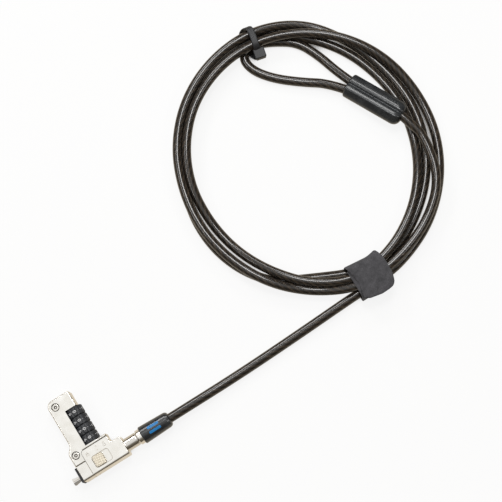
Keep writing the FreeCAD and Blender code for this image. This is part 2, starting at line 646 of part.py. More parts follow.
def oval_block(x, y, half_x, half_y, height):
    # Oval of four arcs that meet smoothly: two small ones at the y ends, two large ones at the x sides
    end_r = half_x - 0.9 * (half_y - half_x)
    end_c = half_y - end_r
    side_r = (half_x ** 2 + end_c ** 2 - end_r ** 2) / (2 * (half_x - end_r))
    side_c = side_r - half_x
    reach = math.hypot(side_c, end_c)
    joint_x = end_r * side_c / reach
    joint_y = end_c + end_r * end_c / reach
    corners = [V(joint_x, joint_y, 0), V(-joint_x, joint_y, 0), V(-joint_x, -joint_y, 0), V(joint_x, -joint_y, 0)]
    middles = [V(0, half_y, 0), V(-half_x, 0, 0), V(0, -half_y, 0), V(half_x, 0, 0)]
    arcs = [Part.Arc(corners[i], middles[i], corners[(i + 1) % 4]).toShape() for i in range(4)]
    block = Part.Face(Part.Wire(arcs)).extrude(V(0, 0, height))
    block.translate(V(x, y, 0))
    return block


def build_coil(cuts):
    # Closed outer shape of the bundle of turns, notched where other pieces pass through it
    ring = oval_block(COIL_X, COIL_Y, COIL_OUT_A, COIL_OUT_B, COIL_H)
    ring = ring.cut(oval_block(COIL_IN_X, COIL_IN_Y, COIL_IN_A, COIL_IN_B, COIL_H))
    ring = ring.makeFillet(COIL_EDGE_R, [e for e in ring.Edges if e.Length > 2 * COIL_H])
    for tool in cuts:
        ring = ring.cut(tool)
    return ring


def save(name, shape):
    if not shape.isValid():
        print("NOT VALID", name)
    box_ = shape.BoundBox
    print(name, "solids", len(shape.Solids), "volume", round(shape.Volume, 2),
          [round(v, 2) for v in (box_.XMin, box_.XMax, box_.YMin, box_.YMax, box_.ZMin, box_.ZMax)])
    shape.exportStep("parts/" + name + ".step")


save("arm_housing", build_arm_housing())
save("bar_housing", build_bar_housing())
save("nose_block", build_nose_block())
save("back_plate", build_back_plate())
save("nose_pad", build_nose_pad())
save("housing_screws", build_screws())
save("detent_spring", build_detent_spring())
for number in range(DIAL_COUNT):
    save("dial_wheel_" + str(number + 1), build_dial_wheel(number))
    save("dial_hub_" + str(number + 1), build_dial_hub(number))
save("dial_spindle", build_dial_spindle())
save("spindle_spring", build_spindle_spring())
save("release_button", build_button())
save("slide_carriage", build_carriage())
save("locking_pin", build_locking_pin())
save("upper_jaw", build_jaw(1))
save("lower_jaw", build_jaw(-1))
save("jaw_pins", build_jaw_pins())
save("reset_plunger", build_reset_plunger())
save("reset_spring", build_reset_spring())
save("swivel_stub", build_swivel_stub())
save("swivel_pin", build_swivel_pin())
save("swivel_collar", build_swivel_collar())
save("cable_ferrule", build_ferrule())
save("cable_sleeve", build_sleeve())

lead = tube_path(LEAD_POINTS, CABLE_R)
eye = tube_path(EYE_POINTS, CABLE_R)
crimp_body, crimp_core = build_crimp()
tie = build_tie()
strap = band(STRAP_X0, STRAP_X1, STRAP_Y0, STRAP_Y1, STRAP_H, STRAP_T, STRAP_EDGE_R)
coil = build_coil([tie, strap, crimp_body, lead, eye])
save("cable_lead", lead)
save("cable_eye", eye)
save("cable_coil", coil)
save("crimp_sleeve", crimp_body.cut(crimp_core).cut(eye))
save("crimp_core", crimp_core.cut(eye))
save("cable_tie", tie.cut(eye))
save("hook_loop_strap", strap.cut(lead))
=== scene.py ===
"""Combination cable lock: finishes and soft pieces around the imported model.

The lock head, the swivel and the crimp stand on the plane z = 0, with +X towards the cable, +Y
along the dial arm and +Z up. Lengths in the classes are in millimetres and become metres in the
meshes.
"""

import logging
import math
from dataclasses import dataclass, field
from enum import Enum
from typing import Any, Sequence

import bmesh
import bpy
import numpy as np
from mathutils import Matrix, Vector


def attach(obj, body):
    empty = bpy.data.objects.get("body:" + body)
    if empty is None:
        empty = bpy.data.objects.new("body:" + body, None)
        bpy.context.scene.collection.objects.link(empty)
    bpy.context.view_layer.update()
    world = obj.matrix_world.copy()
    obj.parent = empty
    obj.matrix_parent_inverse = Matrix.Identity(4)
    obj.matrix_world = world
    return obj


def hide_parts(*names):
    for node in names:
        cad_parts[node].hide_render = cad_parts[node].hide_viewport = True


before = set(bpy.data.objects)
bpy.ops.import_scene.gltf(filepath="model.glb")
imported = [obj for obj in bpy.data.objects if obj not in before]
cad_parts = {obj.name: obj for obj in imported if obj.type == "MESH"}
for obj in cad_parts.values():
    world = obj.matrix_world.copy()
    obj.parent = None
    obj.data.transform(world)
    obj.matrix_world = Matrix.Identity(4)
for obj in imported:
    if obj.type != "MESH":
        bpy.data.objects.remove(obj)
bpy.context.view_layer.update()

log = logging.getLogger("cable_lock")

# A millimetre in metres, a metre in millimetres, and the direction away from the table
MM = 0.001
METRE = 1000.0
UP = (0.0, 0.0, 1.0)

Tree = bpy.types.NodeTree
Node = bpy.types.Node
Socket = bpy.types.NodeSocket
Piece = bpy.types.Object
Pair = tuple[float, float]
Triple = tuple[float, float, float]
Faces = list[list[int]]


def linear(code: str) -> tuple[float, float, float, float]:
    """Turns an sRGB hex colour into the linear values that Blender's sockets take.

    Args:
        code: Six hex digits with a leading hash.

    Returns:
        Linear red, green and blue with an alpha of one.
    """
    parts = [int(code[i:i + 2], 16) / 255 for i in (1, 3, 5)]
    red, green, blue = (c / 12.92 if c <= 0.04045 else ((c + 0.055) / 1.055) ** 2.4 for c in parts)
    return red, green, blue, 1.0


def add_node(tree: Tree, kind: str, inputs: dict[Any, Any] | None = None,
             stops: Sequence[tuple[float, str]] = (), **settings: Any) -> Node:
    """Adds one node, sets its properties, fills or links its inputs and colours its ramp.

    Args:
        tree: The node tree that gets the node.
        kind: Blender's name for the node's type.
        inputs: Values, output sockets or nodes by input name or number; a node stands for its
            first output.
        stops: Places and hex colours in rising order, for a node with a colour ramp.
        settings: Properties of the node itself.

    Returns:
        The new node.
    """
    node = tree.nodes.new(kind)
    for name, value in settings.items():
        setattr(node, name, value)
    for key, value in (inputs or {}).items():
        source = value.outputs[0] if isinstance(value, Node) else value
        if isinstance(source, Socket):
            tree.links.new(source, node.inputs[key])
        else:
            node.inputs[key].default_value = source
    if stops:
        elements = node.color_ramp.elements
        while len(elements) < len(stops):
            elements.new(0.5)
        for element, (place, code) in zip(elements, stops):
            element.position = place
            element.color = linear(code)
    return node


def empty_tree(owner: bpy.types.Material | bpy.types.World) -> Tree:
    """Switches on the nodes of a material or a world and clears them away.

    Args:
        owner: The material or the world.

    Returns:
        Its empty node tree.
    """
    owner.use_nodes = True
    owner.node_tree.nodes.clear()
    return owner.node_tree


def ridges(tree: Tree, value: Node | Socket, rate: float) -> Node:
    """Turns a rising value into ridges from 0 to 1: value times rate, folded at every whole number.

    Args:
        tree: The node tree.
        value: The rising value.
        rate: Slopes, up or down, for each unit of the value.

    Returns:
        The node that gives the ridge's height.
    """
    scaled = add_node(tree, "ShaderNodeMath", {0: value, 1: rate}, operation="MULTIPLY")
    return add_node(tree, "ShaderNodeMath", {0: scaled, 1: 1.0}, operation="PINGPONG")


def by_ray(tree: Tree, rays: tuple[str, str], others: Node, chosen: Node) -> Node:
    """Shows one shader to two kinds of ray and another to the rest.

    Args:
        tree: The node tree.
        rays: Names of the two kinds, as the light path gives them.
        others: The shader for the rest.
        chosen: The shader for the two kinds.

    Returns:
        The mixed shader.
    """
    path = add_node(tree, "ShaderNodeLightPath")
    either = add_node(tree, "ShaderNodeMath", {0: path.outputs[rays[0]], 1: path.outputs[rays[1]]},
                      operation="MAXIMUM")
    return add_node(tree, "ShaderNodeMixShader", {0: either, 1: others, 2: chosen})


@dataclass(frozen=True)
class Finish:
    """One surface: its colour and gloss, and in each subclass the pattern of the real one.

    relief_mm is the height that the pattern's value of 1 stands for, and relief_share is how much
    of it the light sees.
    """

    name: str
    colour: str
    roughness: float
    metallic: float = 0.0
    ior: float = 1.5
    coat: float = 0.0
    coat_roughness: float = 0.05
    sheen: float = 0.0
    relief_mm: float = 0.0
    relief_share: float = 1.0

    def build(self) -> bpy.types.Material:
        """Builds the material: one shader with the pattern linked into it.

        Returns:
            The new material.
        """
        material = bpy.data.materials.new(self.name)
        tree = empty_tree(material)
        shader = add_node(tree, "ShaderNodeBsdfPrincipled", {
            "Base Color": linear(self.colour), "Roughness": self.roughness,
            "Metallic": self.metallic, "IOR": self.ior, "Coat Weight": self.coat,
            "Coat Roughness": self.coat_roughness, "Sheen Weight": self.sheen})
        add_node(tree, "ShaderNodeOutputMaterial", {"Surface": shader})
        pattern = self.pattern(tree)
        if "Height" in pattern:
            pattern["Normal"] = add_node(tree, "ShaderNodeBump", {
                "Height": pattern.pop("Height"), "Distance": self.relief_mm * MM,
                "Strength": self.relief_share})
        for name, node in pattern.items():
            tree.links.new(node.outputs[0], shader.inputs[name])
        material.diffuse_color = linear(self.colour)
        return material

    def pattern(self, tree: Tree) -> dict[str, Node]:
        """Gives a node for Height and for each input that varies; a plain finish has none."""
        return {}


@dataclass(frozen=True)
class CastNickel(Finish):
    """Die-cast zinc, bead-blasted and plated in satin nickel: pale, warm, with a fine grain.

    The beads' own grain of about 0.05 mm is too fine to show, so it is drawn coarser.
    """

    metallic: float = 1.0
    relief_mm: float = 0.012
    relief_share: float = 0.5
    grain_mm: float = 0.28
    cloud_mm: float = 6.0
    cloud: str = "#f1eee8"
    gloss_swing: Pair = (-0.04, 0.05)

    def pattern(self, tree: Tree) -> dict[str, Node]:
        """Blasted grain as relief, and faint clouds in the plating's colour and gloss.

        Args:
            tree: The material's node tree.

        Returns:
            Nodes by the shader's input.
        """
        point = add_node(tree, "ShaderNodeTexCoord").outputs["Object"]
        clouds, grain = (
            add_node(tree, "ShaderNodeTexNoise", {"Vector": point, "Scale": METRE / size})
            for size in (self.cloud_mm, self.grain_mm))
        tint = add_node(tree, "ShaderNodeValToRGB", {0: clouds},
                        stops=((0.35, self.cloud), (0.65, self.colour)))
        smooth, rough = (self.roughness + swing for swing in self.gloss_swing)
        gloss = add_node(tree, "ShaderNodeMapRange", {0: clouds, 3: smooth, 4: rough})
        return {"Base Color": tint, "Roughness": gloss, "Height": grain}


@dataclass(frozen=True)
class ButtonMetal(Finish):
    """The slide's key: nickel with a stamped grip of small pyramids, with painted shade in the
    valleys.

    The pyramids stand at about their real pitch.
    """

    metallic: float = 1.0
    relief_mm: float = 0.12
    relief_share: float = 0.6
    pitch_mm: float = 0.45
    slant: float = 45.0
    valley_shade: str = "#c3b9a4"

    def pattern(self, tree: Tree) -> dict[str, Node]:
        """Two crossing sets of grooves, slanting, a pitch apart, with painted shade down in them.

        Args:
            tree: The material's node tree.

        Returns:
            Nodes by the shader's input.
        """
        point = add_node(tree, "ShaderNodeTexCoord").outputs["Object"]
        turned = add_node(tree, "ShaderNodeMapping", {
            "Vector": point, "Rotation": (0.0, 0.0, math.radians(self.slant))})
        axes = add_node(tree, "ShaderNodeSeparateXYZ", {0: turned})
        one, other = (ridges(tree, axes.outputs[axis], METRE / self.pitch_mm) for axis in (0, 1))
        grip = add_node(tree, "ShaderNodeMath", {0: one, 1: other}, operation="MINIMUM")
        # Painted shade: the colour darkens down into the grooves
        tint = add_node(tree, "ShaderNodeValToRGB", {0: grip},
                        stops=((0.0, self.valley_shade), (0.55, self.colour)))
        return {"Base Color": tint, "Height": grip}


@dataclass(frozen=True)
class TurnedSteel(Finish):
    """Metal part off a lathe or a die: fine parallel marks across its length.

    Real tool marks are about 0.02 mm apart, too fine to show, so they are drawn coarser.
    """

    metallic: float = 1.0
    relief_mm: float = 0.004
    relief_share: float = 0.35
    mark_mm: float = 0.12
    squeeze: Triple = (1.0, 0.15, 0.15)

    def pattern(self, tree: Tree) -> dict[str, Node]:
        """Fine marks as noise that is long around the piece and short along it.

        Args:
            tree: The material's node tree.

        Returns:
            Nodes by the shader's input.
        """
        point = add_node(tree, "ShaderNodeTexCoord").outputs["Object"]
        stretched = add_node(tree, "ShaderNodeMapping", {"Vector": point, "Scale": self.squeeze})
        return {"Height": add_node(tree, "ShaderNodeTexNoise", {
            "Vector": stretched, "Scale": METRE / self.mark_mm})}


@dataclass(frozen=True)
class MouldedPlastic(Finish):
    """Injection-moulded plastic: the mould's polish or spark texture, with faint rubbed spots.

    A mould's grain of about 0.05 mm is too fine to show, so it is drawn coarser.
    """

    relief_mm: float = 0.01
    relief_share: float = 0.5
    grain_mm: float = 0.5
    rubbed_mm: float = 5.0
    worn: str = "#3a3d40"

    def pattern(self, tree: Tree) -> dict[str, Node]:
        """Mould grain as relief, and slightly paler rubbed spots.

        Args:
            tree: The material's node tree.

        Returns:
            Nodes by the shader's input.
        """
        point = add_node(tree, "ShaderNodeTexCoord").outputs["Object"]
        rubbed = add_node(tree, "ShaderNodeTexNoise", {
            "Vector": point, "Scale": METRE / self.rubbed_mm, "Detail": 3.0})
        tint = add_node(tree, "ShaderNodeValToRGB", {0: rubbed},
                        stops=((0.45, self.colour), (0.85, self.worn)))
        grain = add_node(tree, "ShaderNodeTexNoise", {
            "Vector": point, "Scale": METRE / self.grain_mm})
        return {"Base Color": tint, "Height": grain}


@dataclass(frozen=True)
class SmokedJacket(Finish):
    """Smoked clear PVC over galvanised wire rope: the laid strands show as slanting bands.

    wire_lay is the wires' lay as a share of the strands' lay; they wind the other way.
    """

    relief_mm: float = 0.1
    relief_share: float = 0.35
    strands: int = 6
    wires: int = 5
    lay_mm: float = 30.0
    wire_lay: float = 0.35
    wire_share: float = 0.25
    speck_mm: float = 2.2
    ripple_mm: float = 9.0
    valley_shade: str = "#1d1b19"
    crown_highlight: str = "#4b4136"

    def pattern(self, tree: Tree) -> dict[str, Node]:
        """Bands that wind once round in lay_mm, finer wires across them, and a wavy jacket.

        A band's phase is the place along over its lay plus the part of a turn around.

        Args:
            tree: The material's node tree.

        Returns:
            Nodes by the shader's input.
        """
        point = add_node(tree, "ShaderNodeTexCoord").outputs["Object"]
        place = add_node(tree, "ShaderNodeSeparateXYZ", {0: add_node(tree, "ShaderNodeUVMap")})
        along, around = place.outputs[0], place.outputs[1]
        layers = ((METRE / self.lay_mm, self.strands),
                  (-METRE / (self.wire_lay * self.lay_mm), self.wires * self.strands))
        band, wire = (
            ridges(tree, add_node(tree, "ShaderNodeMath", {0: along, 1: turns, 2: around},
                                  operation="MULTIPLY_ADD"), 2.0 * count)
            for turns, count in layers)
        mixed = add_node(tree, "ShaderNodeMath", {0: wire, 1: self.wire_share, 2: band},
                         operation="MULTIPLY_ADD")
        speck = add_node(tree, "ShaderNodeTexNoise", {
            "Vector": point, "Scale": METRE / self.speck_mm, "Detail": 3.0})
        total = add_node(tree, "ShaderNodeMath", {0: mixed, 1: speck}, operation="MULTIPLY")
        # Painted shade in the valleys between the strands and a painted highlight on their crowns
        tint = add_node(tree, "ShaderNodeValToRGB", {0: total},
                        stops=((0.06, self.valley_shade), (0.34, self.colour), (0.72, self.crown_highlight)))
        ripple = add_node(tree, "ShaderNodeTexNoise", {
            "Vector": point, "Scale": METRE / self.ripple_mm})
        return {"Base Color": tint, "Height": ripple}


@dataclass(frozen=True)
class LoopFabric(Finish):
    """Back of hook-and-loop strap: brushed nylon loops, matt and slightly mottled."""

    relief_mm: float = 0.12
    relief_share: float = 0.8
    fibre_mm: float = 0.6
    patch_mm: float = 3.5
    nap: str = "#57565a"

    def pattern(self, tree: Tree) -> dict[str, Node]:
        """Mottled nap over a fine weave.

        Args:
            tree: The material's node tree.

        Returns:
            Nodes by the shader's input.
        """
        point = add_node(tree, "ShaderNodeTexCoord").outputs["Object"]
        fibres, patches = (
            add_node(tree, "ShaderNodeTexNoise", {"Vector": point, "Scale": METRE / size,
                                                  "Detail": detail})
            for size, detail in ((self.fibre_mm, 4.0), (self.patch_mm, 2.0)))
        both = add_node(tree, "ShaderNodeMath", {0: fibres, 1: patches}, operation="MULTIPLY")
        tint = add_node(tree, "ShaderNodeValToRGB", {0: both},
                        stops=((0.12, self.colour), (0.42, self.nap)))
        return {"Base Color": tint, "Height": fibres}


class Surface(Enum):
    """The finishes of the lock, each behind the name of its material slot.

    No finish is called what a slot is called, because the solids bring materials of those names.
    """

    # Zinc castings, bead-blasted and nickel-plated: a pale, warm satin sheen
    NICKEL = ("nickel_casting", CastNickel("satin_nickel_plate", "#f6f4f0", 0.22))
    # The same plating on a stamped key: duller, with painted shade between the pyramids
    BUTTON = ("button_metal", ButtonMetal("stamped_nickel_key", "#e0d9cb", 0.5))
    # Ground and hardened jaw: bright, with fine marks
    STEEL = ("bright_steel", TurnedSteel("hardened_jaw_steel", "#dcd9d5", 0.3))
    # The lower jaw: the upper jaw's steel painted darker, as painted shade; grey, half bright
    JAW_IN_PAINTED_SHADE = ("bright_steel", TurnedSteel("jaw_steel_painted_shade", "#87837d", 0.35))
    # Cold-headed screws, plated: smooth, with soft highlights
    SCREW = ("bright_steel", TurnedSteel("nickel_plated_screw", "#e3e0da", 0.28))
    # Turned and chrome-plated stub: clear bands of light and dark
    CHROME = ("chrome_plate", TurnedSteel("polished_chrome", "#e4e1dc", 0.18))
    # Hard-drawn spring wire and pins: grey, half bright
    SPRING = ("spring_steel", TurnedSteel("drawn_spring_wire", "#a09c96", 0.35))
    # Turned brass hubs: yellow, with fine tool marks
    BRASS = ("brass_inner", TurnedSteel("turned_brass", "#c9a55a", 0.3))
    # Moulded acetal: black, with a wide soft highlight
    DIAL = ("black_dial", MouldedPlastic("matt_black_acetal", "#2f3135", 0.5, worn="#404246"))
    # Moulded rubber: black, nearly without a highlight
    RUBBER = ("black_rubber", MouldedPlastic("black_rubber_pad", "#26262a", 0.7, relief_mm=0.03))
    # Moulding from a polished mould: black, with clear reflections
    GLOSS = ("black_moulding", MouldedPlastic("gloss_black_moulding", "#24272b", 0.28, coat=0.5,
                                              coat_roughness=0.12, relief_mm=0.004))
    # Soft clear PVC, smoked: glossy brown black, strands under it as painted shade and highlight
    JACKET = ("cable_jacket", SmokedJacket("smoked_pvc_over_wire_rope", "#2e2823", 0.15,
                                           ior=1.55))
    # Moulded nylon: black, half matt
    NYLON = ("black_nylon", MouldedPlastic("ribbed_black_nylon", "#222326", 0.5, worn="#2b2c2f",
                                           relief_mm=0.006))
    # Brushed nylon loops: matt grey black
    FABRIC = ("black_fabric", LoopFabric("brushed_loop_fabric", "#3d3d40", 0.95, sheen=0.1))
    # Painted shade at the foot of the screws' bores and in the reset hole: flat brown grey
    SHADE = ("bright_steel", Finish("dark_recess", "#5e554b", 0.7))
    # Printed ink: flat pale grey
    DIGITS = ("black_dial", Finish("pale_grey_marking_ink", "#c9cacc", 0.6))
    # Engraved marks, and painted shade lines along the recess's rim and the nose's step: flat grey
    MARKS_AND_SHADE_LINES = ("nickel_casting", Finish("engraved_line_and_painted_shade", "#b9b1a3", 0.6))
    # Plastic inlay: even blue, half matt
    BLUE = ("black_moulding", Finish("blue_inlay", "#1a7fc4", 0.45))

    @property
    def slot(self) -> str:
        """Name of the record's material slot."""
        return self.value[0]

    @property
    def material(self) -> bpy.types.Material:
        """The finish's one material, built when it is first asked for."""
        finish = self.value[1]
        return bpy.data.materials.get(finish.name) or finish.build()


def link(item: Piece) -> Piece:
    """Puts an object into the scene and gives it back."""
    bpy.context.scene.collection.objects.link(item)
    return item


def add_piece(name: str, points: np.ndarray, faces: Sequence[Sequence[int]] | np.ndarray,
              surface: Surface, body: str, uv: np.ndarray | None = None,
              smooth: bool = True) -> Piece:
    """Makes a mesh piece at the origin, dresses it and lets it ride on a body.

    Args:
        name: Name of the piece.
        points: Vertices in millimetres, one row each.
        faces: Vertex numbers of each face.
        surface: Its finish.
        body: The body that carries it.
        uv: One row of two for each face corner, or None.
        smooth: Whether its faces are shaded smooth.

    Returns:
        The new object.
    """
    mesh = bpy.data.meshes.new(name)
    corners = [list(map(int, face)) for face in faces]
    mesh.from_pydata((np.asarray(points, float) * MM).tolist(), [], corners)
    mesh.polygons.foreach_set("use_smooth", [smooth] * len(mesh.polygons))
    if uv is not None:
        mesh.uv_layers.new(name="UVMap").data.foreach_set("uv", np.asarray(uv, float).ravel())
    mesh.materials.append(surface.material)
    mesh.update()
    piece = link(bpy.data.objects.new(name, mesh))
    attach(piece, body)
    return piece


def outward(piece: Piece) -> Piece:
    """Turns a closed piece's faces outwards and joins points that meet.

    Args:
        piece: A piece with a mesh of its own.

    Returns:
        The same piece.
    """
    work = bmesh.new()
    work.from_mesh(piece.data)
    bmesh.ops.remove_doubles(work, verts=work.verts, dist=1e-7)
    bmesh.ops.recalc_face_normals(work, faces=work.faces)
    work.to_mesh(piece.data)
    work.free()
    return piece


def unit(rows: np.ndarray) -> np.ndarray:
    """Scales each vector, in the last direction of the array, to a length of one."""
    return rows / np.linalg.norm(rows, axis=-1, keepdims=True)


def lengths_along(line: np.ndarray) -> np.ndarray:
    """Gives the length of a line up to each of its points, the sum of the steps before it."""
    return np.concatenate([[0.0], np.cumsum(np.linalg.norm(np.diff(line, axis=0), axis=1))])


def grid_faces(rows: int, columns: int, closed: bool) -> np.ndarray:
    """Numbers the quads of a grid of points that is stored row by row.

    Args:
        rows: Points along the first way.
        columns: Points along the second way.
        closed: Whether the last column joins the first.

    Returns:
        Four vertex numbers for each quad.
    """
    row = np.arange(rows - 1)[:, None]
    column = np.arange(columns if closed else columns - 1)[None, :]
    after = (column + 1) % columns
    corners = (row * columns + column, row * columns + after, (row + 1) * columns + after,
               (row + 1) * columns + column)
    spread = [np.broadcast_to(corner, (rows - 1, column.shape[1])) for corner in corners]
    return np.stack(spread, -1).reshape(-1, 4)


def shell_faces(rings: int, sides: int) -> Faces:
    """Numbers the faces of a closed shell: quads between the rings, and one face on each end.

    Args:
        rings: Number of rings of points.
        sides: Points in each ring.

    Returns:
        Vertex numbers of each face.
    """
    last = list(range((rings - 1) * sides, rings * sides))
    return grid_faces(rings, sides, True).tolist() + [list(range(sides))[::-1], last]


def read_curve(curve: bpy.types.Curve) -> tuple[np.ndarray, Faces]:
    """Reads the mesh that a curve or a text gives, and clears both away.

    Args:
        curve: The curve.

    Returns:
        Vertices in the curve's own unit, one row each, and faces.
    """
    holder = link(bpy.data.objects.new(curve.name, curve))
    bpy.context.view_layer.update()
    mesh = bpy.data.meshes.new_from_object(holder)
    points = np.zeros(len(mesh.vertices) * 3)
    mesh.vertices.foreach_get("co", points)
    faces = [list(polygon.vertices) for polygon in mesh.polygons]
    bpy.data.objects.remove(holder)
    bpy.data.curves.remove(curve)
    bpy.data.meshes.remove(mesh)
    return points.reshape(-1, 3), faces


def nurbs_line(control: np.ndarray, resolution: int) -> np.ndarray:
    """Reads the points of an open quadratic NURBS spline.

    Args:
        control: Control points in millimetres.
        resolution: Points for each control point.

    Returns:
        Points on the spline in millimetres.
    """
    curve = bpy.data.curves.new("route", "CURVE")
    curve.dimensions = "3D"
    curve.resolution_u = resolution
    spline = curve.splines.new("NURBS")
    spline.points.add(len(control) - 1)
    weighted = np.hstack([np.asarray(control, float) * MM, np.ones((len(control), 1))])
    spline.points.foreach_set("co", weighted.ravel())
    spline.order_u = 3
    spline.use_endpoint_u = True
    return read_curve(curve)[0] / MM


def glyph_mesh(text: str, size: float, growth: float = 0.02) -> tuple[np.ndarray, Faces]:
    """Makes a flat glyph's mesh, centred on its middle.

    Args:
        text: The character.
        size: Height of the letters in millimetres.
        growth: How far the strokes are thickened, as a share of the height.

    Returns:
        Points in the plane, two columns, and faces.
    """
    curve = bpy.data.curves.new("glyph", "FONT")
    curve.body = text
    curve.size = size
    curve.offset = growth * size
    curve.resolution_u = 3
    curve.fill_mode = "FRONT"
    points, faces = read_curve(curve)
    flat = points[:, :2]
    return flat - (flat.min(0) + flat.max(0)) / 2, faces


def tube(line: np.ndarray, radius: float, sides: int) -> tuple[np.ndarray, Faces, np.ndarray]:
    """Carries a circle along a line that never stands upright.

    Each ring is centre + radius * (cos a * side + sin a * up), where side is the run's direction
    crossed with the vertical and up is square to both. The ends are closed by one face each.

    Args:
        line: Points of the centre line in millimetres.
        radius: The tube's radius.
        sides: Points in each ring.

    Returns:
        Vertices, faces, and for each face corner the length along in metres and the part of a turn.
    """
    run = unit(np.gradient(line, axis=0))
    side = unit(np.cross(run, UP))
    up = np.cross(side, run)
    angle = 2 * np.pi * np.arange(sides) / sides
    rings = (line[:, None] + radius * (np.cos(angle)[None, :, None] * side[:, None]
                                       + np.sin(angle)[None, :, None] * up[:, None]))
    faces = [face[::-1] for face in shell_faces(len(line), sides)]
    length = lengths_along(line) * MM
    row, column = np.divmod(np.arange((len(line) - 1) * sides), sides)
    corner_u = np.stack([length[row + 1], length[row + 1], length[row], length[row]], -1)
    corner_v = np.stack([column, column + 1, column + 1, column], -1) / sides
    uv = np.stack([corner_u, corner_v], -1).reshape(-1, 2)
    ends = [(length[0], 0.0)] * sides + [(length[-1], 0.0)] * sides
    return rings.reshape(-1, 3), faces, np.vstack([uv, ends])


@dataclass
class SecurityCable:
    """Plastic-coated wire rope: straight lead, three and a bit loose turns, crimp and eye.

    Each turn's entry is its distance from the centre and its height, a step of the angle apart.
    """

    diameter: float = 5.5
    length: float = 1830.0
    sides: int = 18
    resolution: int = 14
    centre: Pair = (190.0, 84.0)
    step: float = 20.0
    start: float = -80.0
    lead: tuple[Triple, ...] = (
        (28.2, 0.0, 5.5), (57.0, 0.0, 5.5), (92.0, 0.4, 2.8), (134.0, 1.8, 2.8), (166.0, 3.1, 3.9),
        (184.0, 3.5, 4.2))
    turns: tuple[Pair, ...] = (
        (78.7, 3.6), (77.4, 2.8), (76.1, 2.8), (75.3, 2.8), (74.8, 3.0), (75.2, 7.2), (75.7, 8.9),
        (76.4, 9.2), (77.3, 8.9), (76.4, 8.6), (74.8, 7.7), (71.7, 8.1), (69.0, 6.3), (66.3, 2.8),
        (65.9, 3.0), (67.6, 7.2), (71.6, 8.6), (74.2, 9.1),
        (70.0, 9.1), (66.0, 7.3), (63.4, 6.2), (62.4, 3.0), (63.3, 2.8), (65.2, 2.8), (69.6, 3.2),
        (74.8, 3.9), (82.5, 3.2), (80.7, 2.8), (78.1, 2.8), (74.5, 2.8), (73.2, 2.8), (73.9, 2.8),
        (74.1, 2.8), (73.1, 2.8), (67.2, 2.8), (69.8, 4.1),
        (72.3, 3.9), (69.1, 2.8), (68.2, 2.8), (68.2, 2.8), (69.1, 2.8), (70.7, 2.8), (75.8, 2.8),
        (83.1, 3.6), (84.0, 8.9), (82.6, 8.0), (80.3, 7.8), (77.2, 7.6), (74.0, 8.1), (72.9, 8.5),
        (72.7, 8.1), (74.4, 8.7), (75.7, 5.0), (79.4, 9.1), (76.6, 9.0), (76.2, 8.1), (75.2, 8.4),
        (67.2, 8.5))
    through_crimp: tuple[Triple, ...] = (
        (251.6, 69.5, 9.2), (248.9, 79.5, 9.6), (241.8, 97.0, 7.2))
    eye: tuple[Triple, ...] = (
        (236.9, 110.0, 5.2), (232.8, 122.0, 3.4), (229.4, 135.0, 2.8), (223.3, 148.7, 2.8),
        (211.4, 157.0, 2.8), (200.8, 161.6, 3.2), (191.0, 159.4, 3.2), (191.2, 149.6, 3.0),
        (199.4, 138.0, 2.8), (213.0, 126.4, 2.9), (225.0, 117.6, 4.0), (232.8, 106.6, 5.4))

    def control_points(self) -> np.ndarray:
        """Joins the lead, the turns, the crimp and the eye.

        A control point lies outside the strand by 1 / cos of half a step, because a quadratic
        spline runs inside its points by that much.

        Returns:
            Control points in millimetres.
        """
        radius, height = np.array(self.turns).T
        angle = np.radians(self.start + self.step * np.arange(len(radius)))
        radius = radius / math.cos(math.radians(self.step / 2))
        turns = np.stack([self.centre[0] + radius * np.cos(angle),
                          self.centre[1] + radius * np.sin(angle), height], -1)
        return np.vstack([self.lead, turns, self.through_crimp, self.eye])

    def build(self, on_it: Sequence[Piece | str]) -> Piece:
        """Args:
            on_it: Pieces meant to ride on the cable; not used.

        Returns:
            The cable.
        """
        line = nurbs_line(self.control_points(), self.resolution)
        points, faces, uv = tube(line, self.diameter / 2, self.sides)
        cable = add_piece("steel_rope_cable", points, faces, Surface.JACKET, "cable_side", uv)
        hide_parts("cable_lead", "cable_coil", "cable_eye")
        return cable


@dataclass
class Ribbon:
    """A flat strip carried along a path, with rounded long edges, for the strap and the tie.

    An offset moves the strip sideways from its path, so that its end can be cut on the skew.
    """

    path: np.ndarray
    across: np.ndarray
    half_width: np.ndarray
    thickness: float
    offset: np.ndarray | float = 0.0
    edge_points: int = 5
    flat_points: int = 7

    def surface(self) -> tuple[np.ndarray, Faces]:
        """Sweeps the strip's outline along the path.

        The outline runs round one edge, over the top, round the other edge and back below, so a
        point is path + across * w + normal * t with (w, t) on a flat oval.

        Returns:
            Vertices and faces of the closed strip.
        """
        run = unit(np.gradient(self.path, axis=0))
        across = unit(self.across - np.sum(self.across * run, axis=1)[:, None] * run)
        normal = np.cross(run, across)
        bend = np.linspace(-np.pi / 2, np.pi / 2, self.edge_points)
        edge = np.ones(self.edge_points)
        flat = np.linspace(-1.0, 1.0, self.flat_points + 2)[1:-1]
        level = np.zeros(self.flat_points)
        r = self.thickness / 2
        inset = r - np.cos(bend) * r
        place = np.concatenate([edge, flat[::-1], -edge, flat])
        pull = np.concatenate([-inset, level, inset, level])
        t = np.concatenate([np.sin(bend) * r, level + r, -np.sin(bend) * r, level - r])
        half = self.half_width[:, None]
        w = np.where(np.abs(place) < 1, place * (half - r), place * half + pull)
        w = w + np.broadcast_to(self.offset, len(self.path))[:, None]
        rows = (self.path[:, None] + across[:, None] * w[..., None]
                + normal[:, None] * t[None, :, None])
        return rows.reshape(-1, 3), shell_faces(len(rows), len(t))


